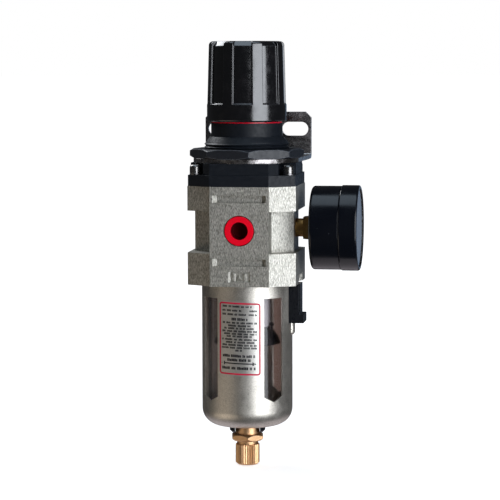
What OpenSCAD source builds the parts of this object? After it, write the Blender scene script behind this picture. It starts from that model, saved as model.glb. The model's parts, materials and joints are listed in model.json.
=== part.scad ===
// Filter regulator with a pressure gauge, a clear bowl in a steel guard, and a wall bracket.
//
// Every module draws one sub-part. Heights are measured from the port axis, and x and y from
// the vertical axis through the knob and the bowl. in_frame() then moves the part so that the
// origin lies midway between the bracket's two slots, on the face that meets the wall.
// The inlet faces -y, the outlet +y, the gauge +x, and the wall is at +y.

/* [Head] */
// Half width of the head across its two plain sides
head_half_x = 26.6; // [25:0.1:28]
// Half width of the head across its two port plates
head_half_y = 26.5; // [25:0.1:28]
// Half width of a port plate
plate_half = 14.4; // [13:0.1:15.5]
// Height of the head's top face
head_top = 21.2; // [21:0.1:22]
// Height of the head's bottom face
head_bottom = -27.1; // [-27.3:0.1:-27]
// Radius of the port holes, the minor radius of a 3/8 pipe thread
port_r = 7.475; // [6.5:0.025:8]
// Depth of the port holes
port_depth = 12; // [10:0.5:12]

/* [Bonnet and bracket] */
// Radius of the panel thread
thread_r = 21; // [20:0.5:21]
// Corner radius of the eight-sided panel nut
nut_corner_r = 28.2; // [26:0.1:30]
// Thickness of the bracket's plate
bracket_t = 2.1; // [1.5:0.1:2.3]
// Half width of the bracket's upright
bracket_half = 27.3; // [27:0.1:30]
// Distance from the vertical axis to the wall
wall_y = 41; // [38:0.5:44]
// Height of the bracket's slots
slot_z = 47.3; // [45:0.1:49]
// Distance between the slots' centres
slot_spacing = 38; // [34:0.5:38]
// End-to-end length of a slot
slot_length = 13.5; // [10:0.5:14]
// Width of a slot
slot_w = 7; // [5:0.5:8]

/* [Knob] */
// Radius of the knob at its skirt
knob_r = 19.6; // [19.4:0.1:22]
// Radius of the knob at its top
knob_top_r = 18.75; // [18.5:0.05:20]
// Height of the knob's lower edge
knob_bottom = 52.1; // [51.8:0.1:52.5]
// Height of the knob's top
knob_top = 91.3; // [91.2:0.1:96]
// Number of finger flutes
flutes = 8; // [6:1:12]
// Width of a flute, in degrees
flute_deg = 29; // [16:1:29]
// Depth of a flute
flute_depth = 1; // [0.4:0.1:1.2]

/* [Gauge] */
// Radius of the gauge's case
case_r = 20.6; // [20.3:0.05:20.8]
// Radius of the gauge's bezel
bezel_r = 21; // [21:0.05:22]
// Distance from the vertical axis to the back of the gauge's case
gauge_back = 32.6; // [32.6:0.1:33.5]

/* [Bowl] */
// Outer radius of the steel bowl guard
guard_r = 22.45; // [22.4:0.05:22.5]
// Thickness of the guard's sheet
guard_t = 1; // [0.8:0.1:1]
// Outer radius of the clear bowl
bowl_r = 19.4; // [19.3:0.05:19.4]
// Thickness of the clear bowl
bowl_t = 1.5; // [1:0.1:1.6]
// Height of the guard's lowest edge
guard_bottom = -98.6; // [-98.8:0.1:-98.6]
// Width of a guard window
window_w = 11; // [8:0.1:11]
// Height of a window's top edge
window_top = -33.5; // [-36:0.1:-33]
// Height of a window's pointed lower end
window_tip = -84.6; // [-85.5:0.1:-70]

/* [Drain] */
// Width across the flats of the drain's hexagon
drain_hex = 15.3; // [14:0.1:17]
// Radius of the knurled drain knob
drain_knob_r = 6; // [5.8:0.05:7]
// Number of knurl ridges
knurls = 32; // [24:2:48]

/* [Hidden] */
$fn = 72;

// Running clearance between a shaft and its hole, and the gap left between plain faces
run = 0.05;
gap = 0.1;

// Head
upper_flange = 9.2;
lower_flange = -11.2;
flange_x = [plate_half, head_half_x];
flange_y = [head_half_y - 1.5, 18.5];
waist_x = [plate_half, 24.5];
waist_y = [16.1, 9];
groove_z = 15.35;
groove_h = 3.5;
groove_depth = 2;
groove_half = 13.05;
mark_z = -22.4;
mark_half = 5.4;
mark_depth = 1;
side_notch_top = -23;
screw_x = 22.8;
screw_y = 17.3;
screw_r = 1.7;
diaphragm_r = 20;
rim_floor = 19.7;
chamber_r = 16.5;
chamber_floor = 15.2;
web_bottom = 6.5;
seat_z = -4.5;
seat_r = 4.2;
valve_bore_r = 9;
boss_r = 11.2;
boss_bottom = -20;
bowl_socket_r = 19.8;
bowl_socket_top = -14;
guard_socket_r = 22.8;
guard_socket_top = -19.2;
seal_groove_r = 21;
seal_z = -16.6;
seal_wire = 0.73;
passage_z = 1;
gauge_thread_r = 4.8;

// Bonnet
base_top = 26.6;
tower_top = 32.3;
tower_side = 25.9;
pocket_x = 18.4;
pocket_y = 12.4;
neck_r = 17.6;
neck_top = 51.4;
dome_r = 16.5;
dome_top = 76;
skirt_top = 59.9;
spring_room_r = 14.2;
spring_room_top = 73;
key_r = 15.6;
key_w = 4.4;
thread_top = 42.1;
thread_pitch = 1.5;
washer_h = 1;
ring_z = tower_top + bracket_t;
nut_top = 38.9;

// Adjusting screw and its nut
adjust_r = 5;
adjust_hex = 9;
nut_z = 56;
nut_h = 4.5;
wire = 1.6;
plate_top = 22.6;

// Valve
stem_r = 2;
holder_top = -8;
holder_cup = -15;

// Filter
element_r = 11.4;
element_top = -23;
element_bottom = -49;
baffle_r = 16.3;
baffle_bottom = -57.4;
rod_r = 2.5;

// Gauge, measured along x
case_front = 46.9;
bezel_front = 56.1;
lens_x = bezel_front - 2.05;
dial_x = 48;
sector_pivot = 11.2;
gear_x = 41.4;
gear_module = 0.4;
pinion_teeth = 8;
sector_teeth = 48;

// Bowl and drain
guard_top = -19.5;
corner_r = 8.5;
corner_z = -89.65;
window_shoulder = window_tip + 2.6;
slot_top = -33.7;
slot_bottom = -46.85;
button_bottom = -46.75;
button_bore_top = -42.3;
emboss_x = 21.1;
emboss_bottom = -52.4;
bowl_top = -15;
bowl_floor = -96.3;
drain_r = 6.05;
drain_bore = 3.55;
hex_top = -102.9;
hex_bottom = -106.4;
drain_top = bowl_floor + 6.7;
drain_knob_top = -108.2;
drain_knob_bottom = -118.5;

function arc(cx, cy, r, from, to, steps) =
    [for (i = [0 : steps]) let (a = from + (to - from) * i / steps) [cx + r * cos(a), cy + r * sin(a)]];

// Moves a part from the vertical axis and port axis to the row's frame
module in_frame() {
    translate([0, -wall_y, -slot_z]) children();
}

module rod(r, z0, z1) {
    translate([0, 0, z0]) cylinder(r = r, h = z1 - z0);
}

module tube(r_out, r_in, z0, z1) {
    difference() {
        rod(r_out, z0, z1);
        rod(r_in, z0 - 1, z1 + 1);
    }
}

// Turns +z into +x, and +z into +y
module along_x() {
    rotate([0, 90, 0]) children();
}

module along_y() {
    rotate([-90, 0, 0]) children();
}

// Draws in the y-z plane, extruded along +x from x0 to x1
module profile_x(x0, x1) {
    translate([x0, 0, 0]) rotate([90, 0, 90]) linear_extrude(height = x1 - x0) children();
}

module hexagon(flats, z0, z1) {
    translate([0, 0, z0]) cylinder(r = flats / 2 / cos(30), h = z1 - z0, $fn = 6);
}

module at_screws() {
    for (x = [-screw_x, screw_x], y = [-screw_y, screw_y]) translate([x, y, 0]) children();
}

// Eight-sided plan, from its two corners in one quarter
module octagon_plan(x, y) {
    polygon([
        [x[0], -y[0]], [x[1], -y[1]], [x[1], y[1]], [x[0], y[0]],
        [-x[0], y[0]], [-x[1], y[1]], [-x[1], -y[1]], [-x[0], -y[0]]
    ]);
}

module slab(z0, z1) {
    translate([0, 0, z0]) linear_extrude(height = z1 - z0) children();
}

// Round wire wound between two heights, with one flat turn's rise per turn
module coil(mean_r, wire_r, z0, z1, turns, steps, sides) {
    count = turns * steps;
    rise = (z1 - z0 - 2 * wire_r) / count;
    points = [for (i = [0 : count], s = [0 : sides - 1])
        let (turn = 360 * i / steps, side = 360 * s / sides, r = mean_r + wire_r * cos(side))
        [r * cos(turn), r * sin(turn), z0 + wire_r + rise * i + wire_r * sin(side)]];
    walls = [for (i = [0 : count - 1], s = [0 : sides - 1])
        let (t = (s + 1) % sides, a = i * sides)
        [a + s, a + sides + s, a + sides + t, a + t]];
    start = [[for (s = [0 : sides - 1]) s]];
    end = [[for (s = [sides - 1 : -1 : 0]) count * sides + s]];
    polyhedron(points = points, faces = concat(walls, start, end));
}

// ---------------------------------------------------------------- head

module port_groove(z) {
    translate([0, -head_half_y, z - groove_h / 2]) linear_extrude(height = groove_h) polygon([
        [-groove_half, -1], [-groove_half, 0], [-groove_half + groove_depth, groove_depth],
        [groove_half - groove_depth, groove_depth], [groove_half, 0], [groove_half, -1]
    ]);
}

module port_features() {
    translate([0, -head_half_y - 1, 0]) along_y() cylinder(r = port_r, h = port_depth + 1);
    port_groove(groove_z);
    port_groove(-groove_z);
    port_mark();
}

// Shallow pocket with a raised triangle between two raised bars, pointing at the port
module port_mark() {
    translate([0, -head_half_y, mark_z]) difference() {
        translate([0, 0, -2.5]) linear_extrude(height = 5) polygon([
            [-mark_half - 1, -1], [mark_half + 1, -1], [mark_half, 0], [mark_half - mark_depth, mark_depth],
            [mark_depth - mark_half, mark_depth], [-mark_half, 0]
        ]);
        for (x = [-2.7, 2.7]) translate([x, mark_depth, -1.9]) linear_extrude(height = 3.8) polygon([
            [-1.1, 0.1], [-0.35, -0.75], [0.35, -0.75], [1.1, 0.1]
        ]);
        translate([0, mark_depth + 0.1, 0]) rotate([90, 0, 0]) linear_extrude(height = 0.85, scale = 0.45)
            polygon([[-1.5, -1.9], [1.5, -1.9], [0, 1.9]]);
    }
}

module body() {
    color("#b9b4a6") in_frame() difference() {
        union() {
            slab(head_bottom, lower_flange) octagon_plan(flange_x, flange_y);
            slab(upper_flange, head_top) octagon_plan(flange_x, flange_y);
            slab(head_bottom, head_top) octagon_plan(waist_x, waist_y);
            slab(head_bottom, head_top) square([2 * plate_half, 2 * head_half_y], center = true);
        }
        port_features();
        rotate([0, 0, 180]) port_features();
        rod(diaphragm_r + gap, rim_floor, head_top + 1);
        rod(chamber_r, chamber_floor, head_top + 1);
        rod(stem_r + run, web_bottom - 1, chamber_floor + 1);
        rod(6.5, seat_z + 3.5, web_bottom);
        rod(seat_r, seat_z - 1, seat_z + 4);
        rod(valve_bore_r, head_bottom - 1, seat_z);
        difference() {
            rod(bowl_socket_r, head_bottom - 1, bowl_socket_top);
            rod(boss_r, boss_bottom, bowl_socket_top + 1);
        }
        rod(guard_socket_r, head_bottom - 1, guard_socket_top);
        tube(seal_groove_r, bowl_socket_r - 1, seal_z - 1, seal_z + 1);
        translate([0, 0, passage_z]) along_y() cylinder(r = 5, h = head_half_y - port_depth + 1);
        translate([0, 12, passage_z]) cylinder(r = 1, h = chamber_floor);
        translate([0, port_depth - head_half_y - 1.3, bowl_socket_top - 1]) cylinder(r = 3, h = 12);
        for (side = [0, 180]) rotate([0, 0, side]) {
            translate([15, 0, 0]) along_x() cylinder(r = gauge_thread_r + run, h = 12);
            translate([0, 0, passage_z]) along_x() cylinder(r = 2, h = 16);
        }
        translate([-26, 0, 0]) along_x() cylinder(r = 6.8, h = 4);
        slab(head_bottom - 1, side_notch_top) polygon([[28.6, -10], [25.2, -6.6], [25.2, 6.6], [28.6, 10]]);
        at_screws() rod(screw_r + run, 10.5, head_top + 1);
    }
}

module inlet_plug() {
    color("#8c1a1e") in_frame() translate([0, -head_half_y - 0.4, 0]) along_y() difference() {
        union() {
            cylinder(r = 7.05, h = 11.2);
            for (z = [2.5, 7.5]) translate([0, 0, z]) cylinder(r = port_r - run, h = 0.8);
        }
        translate([0, 0, -1]) cylinder(r = 4.3, h = 10);
    }
}

module rear_plug() {
    color("#c3b27a") in_frame() rotate([0, 0, 180]) difference() {
        union() {
            translate([15.5, 0, 0]) along_x() cylinder(r = gauge_thread_r, h = 8);
            translate([22.95, 0, 0]) along_x() cylinder(r = 6.6, h = 1.3);
        }
        translate([19.5, 0, 0]) along_x() cylinder(r = 2.9, h = 6, $fn = 6);
    }
}

module rear_plug_seal() {
    color("#1b1b1c") in_frame() translate([-22, 0, 0]) rotate([0, -90, 0]) tube(6.3, gauge_thread_r + gap, 0, 0.95);
}

// ---------------------------------------------------------------- bonnet, bracket, knob

module bonnet() {
    crests = floor((thread_top - ring_z) / thread_pitch);
    color("#22262c") in_frame() difference() {
        union() {
            slab(head_top, base_top) octagon_plan([plate_half, head_half_x - 0.3], [head_half_y, 18.5]);
            slab(base_top, tower_top) difference() {
                octagon_plan([plate_half, tower_side], [tower_side, pocket_y]);
                for (x = [-1, 1], y = [-1, 1]) scale([x, y]) translate([pocket_x, pocket_y]) square(12);
            }
            rotate_extrude() polygon(concat(
                [[0, base_top], [thread_r - 0.8, base_top], [thread_r - 0.8, ring_z]],
                [for (i = [0 : 2 * crests]) [thread_r - (i % 2 == 0 ? 0.8 : 0), ring_z + i * thread_pitch / 2]],
                [[thread_r - 0.8, thread_top], [neck_r + 0.6, 44.8], [neck_r, 44.8], [neck_r, neck_top],
                [dome_r, neck_top], [dome_r, dome_top - 1], [dome_r - 1, dome_top], [0, dome_top]]
            ));
        }
        rod(spring_room_r, head_top - 1, spring_room_top);
        intersection() {
            rod(key_r, 48, spring_room_top - 4);
            for (a = [0, 90]) rotate([0, 0, a]) translate([-20, -key_w / 2, 40]) cube([40, key_w, 40]);
        }
        rod(adjust_r + run, spring_room_top - 1, dome_top + 1);
        at_screws() rod(screw_r + 0.2, head_top - 1, tower_top + 1);
    }
}

module bonnet_screws() {
    head_z = base_top + washer_h;
    color("#c9c9c6") in_frame() at_screws() difference() {
        rotate_extrude() polygon(concat(
            [[0, 12], [screw_r - 0.4, 12], [screw_r, 12.4], [screw_r, head_z], [2.75, head_z]],
            arc(1.25, head_z + 2.5, 1.5, 0, 90, 5), [[0, head_z + 4]]
        ));
        translate([0, 0, head_z + 3.4]) for (a = [45, 135]) rotate([0, 0, a]) cube([3.2, 0.7, 3], center = true);
    }
}

module bonnet_lock_washers() {
    color("#8f9092") in_frame() at_screws() difference() {
        tube(2.75, screw_r + gap, base_top, base_top + washer_h);
        rotate([0, 0, 70]) translate([0, -0.3, base_top - 1]) cube([4, 0.6, 4]);
    }
}

module panel_nut() {
    color("#191a1c") in_frame() difference() {
        intersection() {
            rotate([0, 0, -80]) translate([0, 0, ring_z]) cylinder(r = nut_corner_r, h = nut_top - ring_z, $fn = 8);
            rotate_extrude() polygon([
                [0, ring_z], [26.4, ring_z], [nut_corner_r + 0.2, ring_z + 1.1],
                [nut_corner_r + 0.2, nut_top - 1.1], [26.4, nut_top], [0, nut_top]
            ]);
        }
        rod(thread_r + gap, ring_z - 1, nut_top + 1);
    }
}

module slot_plan() {
    half = (slot_length - slot_w) / 2;
    square([2 * half, slot_w], center = true);
    for (x = [-half, half]) translate([x, 0]) circle(r = slot_w / 2);
}

module mounting_bracket() {
    top = slot_z + 8.7;
    bend = 3;
    low = tower_top;
    color("#b7b9ba") in_frame() difference() {
        union() {
            slab(low, low + bracket_t) {
                circle(r = 26.3);
                polygon([
                    [-26.2, 2], [26.2, 2], [bracket_half, 24], [bracket_half, wall_y - bend],
                    [-bracket_half, wall_y - bend], [-bracket_half, 24]
                ]);
            }
            profile_x(-bracket_half, bracket_half) polygon(concat(
                arc(wall_y - bend, low + bend, bend, -90, 0, 6),
                [[wall_y, top - 12], [wall_y - bracket_t, top - 12]],
                arc(wall_y - bend, low + bend, bend - bracket_t, 0, -90, 6)
            ));
            translate([0, wall_y, 0]) rotate([90, 0, 0]) linear_extrude(height = bracket_t) polygon([
                [-bracket_half, top - 12.5], [bracket_half, top - 12.5], [bracket_half, top - 3],
                [bracket_half - 3, top], [3 - bracket_half, top], [-bracket_half, top - 3]
            ]);
        }
        rod(thread_r + 0.3, low - 1, low + bracket_t + 1);
        for (x = [-slot_spacing / 2, slot_spacing / 2])
            translate([x, wall_y + 1, slot_z]) rotate([90, 0, 0]) linear_extrude(height = bracket_t + 2) slot_plan();
    }
}

module knob_lock_ring() {
    color("#b3221f") in_frame() tube(17.4, dome_r + run, neck_top, neck_top + 3);
}

module knob_flute() {
    floor_r = knob_top_r - flute_depth;
    rotate([0, 0, -flute_deg / 2]) rotate_extrude(angle = flute_deg) polygon([
        [knob_r - flute_depth - 0.1, skirt_top + 1.2], [knob_r + 2, skirt_top], [knob_r + 2, knob_top + 1],
        [floor_r - 3, knob_top + 1], [floor_r, knob_top - 2.4]
    ]);
}

module adjusting_knob() {
    wall_top = 89;
    color("#111214") in_frame() difference() {
        union() {
            difference() {
                rotate_extrude() polygon(concat(
                    [[0, knob_bottom], [knob_r - 0.6, knob_bottom], [knob_r, knob_bottom + 0.6], [knob_r, skirt_top]],
                    arc(knob_top_r - 2, knob_top - 2, 2, 0, 90, 6), [[0, knob_top]]
                ));
                for (i = [0 : flutes - 1]) rotate([0, 0, 360 / flutes * i + 2]) knob_flute();
                rod(17.9 - 1.1, knob_bottom - 1, wall_top);
                rod(17.9, knob_bottom - 1, 62);
            }
            rod(8, 79.5, wall_top + 0.5);
        }
        hexagon(adjust_hex + 0.2, 79, 88);
    }
}

module adjusting_screw() {
    color("#b5a05a") in_frame() {
        rod(adjust_r, 46, spring_room_top + 3.2);
        rod(8, 69, 71.4);
        hexagon(adjust_hex, spring_room_top + 3.2, 86);
    }
}

module thrust_washer() {
    color("#d8d4c4") in_frame() tube(8.5, adjust_r + run, 71.45, 72.95);
}

module spring_nut() {
    color("#a5a39a") in_frame() difference() {
        union() {
            rod(13.8, nut_z, nut_z + nut_h);
            intersection() {
                rod(key_r - 0.3, nut_z, nut_z + nut_h);
                for (a = [0, 90]) rotate([0, 0, a]) translate([-20, 0.2 - key_w / 2, nut_z]) cube([40, key_w - 0.4, nut_h]);
            }
        }
        rod(adjust_r + run, nut_z - 1, nut_z + nut_h + 1);
    }
}

module regulating_spring() {
    color("#9a9c9e") in_frame() coil(11.5, wire, plate_top + gap, nut_z - gap, 6, 24, 8);
}

// ---------------------------------------------------------------- diaphragm and valve

module diaphragm() {
    color("#2b2b2b") in_frame() rotate_extrude() polygon([
        [3.05, 19.8], [16.8, 19.8], [17.6, 19.8], [17.6, 19.75], [diaphragm_r, 19.75], [diaphragm_r, 21.15],
        [17.6, 21.15], [17.6, 20.35], [3.05, 20.35]
    ]);
}

module diaphragm_plate() {
    color("#a9abad") in_frame() rotate_extrude() polygon([
        [0, 16.2], [3, 16.2], [3, 17.4], [9, 17.4], [9, 19.75], [3, 19.75], [3, 20.4],
        [13.2, 20.4], [13.2, plate_top], [9.4, plate_top], [9.4, 23.6], [0, 23.6]
    ]);
}

module valve_stem() {
    color("#b5a05a") in_frame() rod(stem_r, -17.5, 16.15);
}

module valve_poppet() {
    color("#262626") in_frame() tube(6, stem_r, -7, seat_z - gap);
}

module valve_holder() {
    color("#e4e2da") in_frame() difference() {
        union() {
            rod(valve_bore_r - run, boss_bottom, holder_top);
            rod(6, -27, boss_bottom + 0.5);
        }
        rod(5.5, holder_cup, holder_top + 1);
        rod(stem_r + run, -18.5, holder_cup + 1);
        rod(rod_r + run, -28, boss_bottom);
        for (a = [45 : 90 : 315]) rotate([0, 0, a]) translate([7.3, 0, boss_bottom - 1]) cylinder(r = 1.2, h = 15);
    }
}

module valve_spring() {
    color("#9a9c9e") in_frame() coil(3.6, 0.5, holder_cup + gap, -7 - gap, 5, 16, 6);
}

// ---------------------------------------------------------------- filter

module element_gasket() {
    color("#1d1d1e") in_frame() tube(11, 8.2, -21, boss_bottom);
}

module swirl_louver() {
    color("#202124") in_frame() {
        tube(17, 8.2, element_top, -21);
        for (a = [0 : 30 : 330]) rotate([0, 0, a]) translate([14.4, 0, element_top - 1.9]) rotate([35, 0, 0])
            cube([4.4, 0.9, 4.6], center = true);
    }
}

module filter_element() {
    color("#e9e6dc") in_frame() tube(element_r, 8, element_bottom, element_top);
}

module element_rod() {
    color("#b5a05a") in_frame() {
        rod(rod_r, -60, -20.3);
        hexagon(8, -62, baffle_bottom);
    }
}

// Umbrella under the element, with a ball on a pin beside it
module baffle() {
    color("#17181a") in_frame() {
        rotate_extrude() polygon([
            [rod_r + run, element_bottom], [9.6, element_bottom], [11.6, -49.7], [13.3, -51.3],
            [14.7, -53.2], [15.7, -55], [baffle_r, -56.4], [baffle_r, baffle_bottom],
            [baffle_r - 1, baffle_bottom], [9.2, -50.7], [5, -50.7], [5, baffle_bottom],
            [rod_r + run, baffle_bottom]
        ]);
        rotate([0, 0, -18]) translate([13.2, 0, 0]) {
            rod(0.6, -53, -47.7);
            translate([0, 0, -47.7]) sphere(r = 1.15, $fn = 24);
        }
    }
}

// ---------------------------------------------------------------- gauge

module gauge_socket() {
    color("#c0a860") in_frame() {
        translate([15.5, 0, 0]) along_x() cylinder(r = gauge_thread_r, h = 8.5);
        translate([23, 0, 0]) along_x() cylinder(r = 4.5, h = 6);
        translate([28.4, 0, 0]) intersection() {
            translate([0, -5.4, -5.4]) cube([gauge_back - 28.4, 10.8, 10.8]);
            along_x() cylinder(r1 = 6.6, r2 = 9, h = gauge_back - 28.4);
        }
        translate([gauge_back - 0.1, 0, 0]) along_x() cylinder(r = 4.5, h = 2);
        translate([gauge_back + 1.4, -3.5, -17.2]) cube([4.5, 7, 21.7]);
        translate([gauge_back + 5.7, -3, -17.2]) cube([4.6, 6, 3.2]);
    }
}

module gauge_case() {
    color("#141517") in_frame() translate([gauge_back, 0, 0]) along_x() rotate_extrude() polygon(concat(
        [[4.6, 0]], arc(case_r - 1.5, 1.5, 1.5, -90, 0, 6),
        [[case_r, case_front - gauge_back], [19.9, case_front - gauge_back], [19.9, 16.2], [19.2, 16.2]],
        arc(case_r - 2.15, 2.2, 1, 0, -90, 4), [[4.6, 1.2]]
    ));
}

module gauge_bezel() {
    depth = bezel_front - case_front;
    color("#101113") in_frame() translate([case_front, 0, 0]) along_x() rotate_extrude() polygon(concat(
        [[19.95, 0.05], [bezel_r - 0.5, 0.05], [bezel_r, 0.55]],
        arc(bezel_r - 0.9, depth - 0.9, 0.9, 0, 90, 5),
        [[19.2, depth], [19.2, depth - 0.5], [19.95, depth - 0.5]]
    ));
}

module gauge_lens() {
    color("#8fa0aa", 0.35) in_frame() translate([lens_x, 0, 0]) along_x() cylinder(r = 19.8, h = 1.5);
}

module gauge_dial() {
    color("#f1f1ee") in_frame() translate([dial_x, 0, 0]) along_x() tube(19, 1.2, 0, 0.5);
}

module gauge_bourdon_tube() {
    color("#b08d3f") in_frame() translate([gauge_back + 6.2, 0, 0]) along_x() rotate([0, 0, 12.7])
        rotate_extrude(angle = 257) polygon([[13.7, 0.5], [14.1, 0], [14.9, 0], [15.3, 0.5],
            [15.3, 3.7], [14.9, 4.2], [14.1, 4.2], [13.7, 3.7]]);
}

module gauge_plate(x) {
    profile_x(x, x + 0.8) difference() {
        intersection() {
            circle(r = 13.2);
            translate([-6.5, -7]) square([13, 20]);
        }
        circle(r = 0.7);
        translate([0, sector_pivot]) circle(r = 0.9);
    }
}

module gauge_movement() {
    color("#c0a860") in_frame() {
        gauge_plate(39.4);
        gauge_plate(43.8);
        for (y = [-5.2, 5.2]) translate([40.1, y, -5.6]) along_x() cylinder(r = 0.9, h = 3.8);
        for (y = [-5.2, 5.2]) translate([44.5, y, -5.6]) along_x() cylinder(r = 0.9, h = 3.45);
        translate([38.5, -3, -4]) cube([1, 6, 3]);
    }
}

// One gear tooth pointing along +x from its pitch radius
module tooth(pitch_r, w) {
    polygon([
        [pitch_r - 0.7, -1.5 * w], [pitch_r, -w], [pitch_r + 0.36, -0.5 * w],
        [pitch_r + 0.36, 0.5 * w], [pitch_r, w], [pitch_r - 0.7, 1.5 * w]
    ]);
}

module gauge_sector() {
    r = gear_module * sector_teeth / 2;
    step = 360 / sector_teeth;
    color("#c9b36c") in_frame() {
        profile_x(gear_x, gear_x + 1) translate([0, sector_pivot]) {
            circle(r = 1.7);
            intersection() {
                difference() {
                    circle(r = r - 0.5);
                    circle(r = r - 2.2);
                }
                polygon([[0, 0], [2, -20], [-20, -20], [-20, -13]]);
            }
            for (k = [0 : 8]) rotate(-90 - step * (k - 0.5)) tooth(r, 0.16);
            rotate(-90 - 22) translate([1, -0.8]) square([r - 2.4, 1.6]);
        }
        translate([39.5, 0, sector_pivot]) along_x() cylinder(r = 0.8, h = 5);
    }
}

module gauge_arbor() {
    r = gear_module * pinion_teeth / 2;
    color("#c9b36c") in_frame() {
        translate([39.5, 0, 0]) along_x() cylinder(r = 0.62, h = 11.3);
        profile_x(gear_x - 0.4, gear_x + 1.4) {
            circle(r = r - 0.5);
            for (k = [0 : pinion_teeth - 1]) rotate(90 + 360 / pinion_teeth * k) tooth(r, 0.13);
        }
    }
}

module gauge_pointer() {
    color("#161616") in_frame() profile_x(49.9, 50.4) difference() {
        union() {
            circle(r = 1.9);
            rotate(-135) polygon([[-5, -1], [0, -0.9], [13, -0.35], [15.5, 0], [13, 0.35], [0, 0.9], [-5, 1]]);
        }
        circle(r = 0.64);
    }
}

// ---------------------------------------------------------------- bowl

module bowl_seal() {
    color("#1b1b1c") in_frame() translate([0, 0, seal_z]) rotate_extrude() translate([20.2, 0]) circle(r = seal_wire, $fn = 24);
}

module bowl() {
    corner = 7.5;
    cx = bowl_r - corner;
    color("#cfd2cc", 0.4) in_frame() rotate_extrude() polygon(concat(
        [[bowl_r - bowl_t, bowl_top], [bowl_r, bowl_top]],
        arc(cx, bowl_floor + corner, corner, 0, -90, 8),
        [[drain_r + gap, bowl_floor], [drain_r + gap, bowl_floor + bowl_t]],
        arc(cx, bowl_floor + corner, corner - bowl_t, -90, 0, 8)
    ));
}

module guard_window() {
    half = window_w / 2;
    rotate([90, 0, 90]) translate([0, 0, 15]) linear_extrude(height = 15) polygon([
        [-half, window_top], [half, window_top], [half, window_shoulder], [0, window_tip], [-half, window_shoulder]
    ]);
}

module bowl_guard() {
    hole_r = 9.5;
    cx = guard_r - corner_r;
    color("#c6c8c8") in_frame() difference() {
        union() {
            rotate_extrude() polygon(concat(
                [[guard_r - guard_t, guard_top], [guard_r, guard_top]],
                arc(cx, corner_z, corner_r, 0, -80, 8),
                [[hole_r, guard_bottom], [hole_r, guard_bottom + guard_t]],
                arc(cx, corner_z, corner_r - guard_t, -80, 0, 8)
            ));
            difference() {
                translate([emboss_x, 0, 0]) union() {
                    rod(2.8, emboss_bottom, slot_bottom - 0.1);
                    translate([0, 0, emboss_bottom - 1.2]) cylinder(r1 = 1.8, r2 = 2.8, h = 1.25);
                }
                rod(guard_r - guard_t, emboss_bottom - 2, slot_bottom + 1);
            }
        }
        for (a = [44 : 90 : 314]) rotate([0, 0, a]) guard_window();
        translate([15, -2.6, slot_bottom]) cube([15, 5.2, slot_top - slot_bottom]);
        translate([21.4, 0, 0]) rod(1.65, emboss_bottom + 0.6, slot_bottom + 1);
    }
}

module bowl_label() {
    color("#f2f1ee") in_frame() rotate([0, 0, -120.8]) rotate_extrude(angle = 58.2) translate([guard_r + 0.02, -71.8])
        square([0.12, 37.6]);
}

module lock_button() {
    color("#121315") in_frame() difference() {
        union() {
            difference() {
                union() {
                    translate([20.5, -6.5, button_bottom]) cube([6.35, 13, -27.6 - button_bottom]);
                    translate([20.5, -6.5, button_bottom]) cube([8.3, 13, 4.3]);
                }
                rod(guard_r + 0.15, -60, -20);
                translate([26.35, -7, button_bottom + 5.4]) cube([1, 4.2, 20]);
            }
            translate([20.6, -2.4, button_bore_top - 0.2]) cube([3, 4.8, 8.3]);
            translate([20, -2.8, button_bore_top - 0.2]) cube([0.9, 5.6, 8.3]);
        }
        translate([emboss_x, 0, 0]) rod(3.1, -60, button_bore_top);
    }
}

module lock_spring() {
    color("#9a9c9e") in_frame() translate([21.4, 0, 0])
        coil(1.1, 0.25, emboss_bottom + 0.7, button_bore_top - gap, 7, 12, 6);
}

// ---------------------------------------------------------------- drain

// The bowl's lower boss, open towards the front and the back
module drain_collar() {
    color("#131416") in_frame() difference() {
        union() {
            rod(8.85, guard_bottom - 2.6, bowl_floor - gap);
            translate([0, 0, guard_bottom - 3.6]) cylinder(r1 = 7.9, r2 = 8.85, h = 1.01);
        }
        rod(drain_r + gap, -104, bowl_floor + 1);
        rotate([0, 0, 8.5]) translate([-6.2, -12, guard_bottom - 5]) cube([12.4, 24, 4.8]);
    }
}

module drain_nut() {
    color("#c0a860") in_frame() difference() {
        hexagon(15, bowl_floor + bowl_t + gap, bowl_floor + bowl_t + 3.2);
        rod(drain_r + run, bowl_floor, -80);
    }
}

module drain_body() {
    mid = (hex_top + hex_bottom) / 2;
    half = (hex_top - hex_bottom) / 2;
    color("#c2a75c") in_frame() difference() {
        union() {
            rod(drain_r, hex_top - 1, drain_top);
            intersection() {
                rotate([0, 0, 40]) hexagon(drain_hex, hex_bottom, hex_top);
                union() {
                    translate([0, 0, mid]) cylinder(r1 = drain_hex / 2 + 1.6, r2 = drain_hex / 2 - 0.5, h = half);
                    translate([0, 0, hex_bottom]) cylinder(r1 = drain_hex / 2 - 0.5, r2 = drain_hex / 2 + 1.6, h = half);
                }
            }
            rod(5.3, drain_knob_top + 0.1, hex_bottom + 1);
        }
        rod(drain_bore, -110, drain_top - 9);
        rod(1.6, drain_top - 10, drain_top + 1);
    }
}

module drain_seal() {
    color("#1b1b1c") in_frame() translate([0, 0, drain_top + 0.55]) rotate_extrude() translate([2.5, 0])
        circle(r = 0.5, $fn = 24);
}

module drain_pin() {
    color("#b9b9b5") in_frame() {
        rod(1.5, drain_top - 9.5, drain_top + 1.2);
        rod(3.4, drain_top + 1.1, drain_top + 2.4);
    }
}

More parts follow.
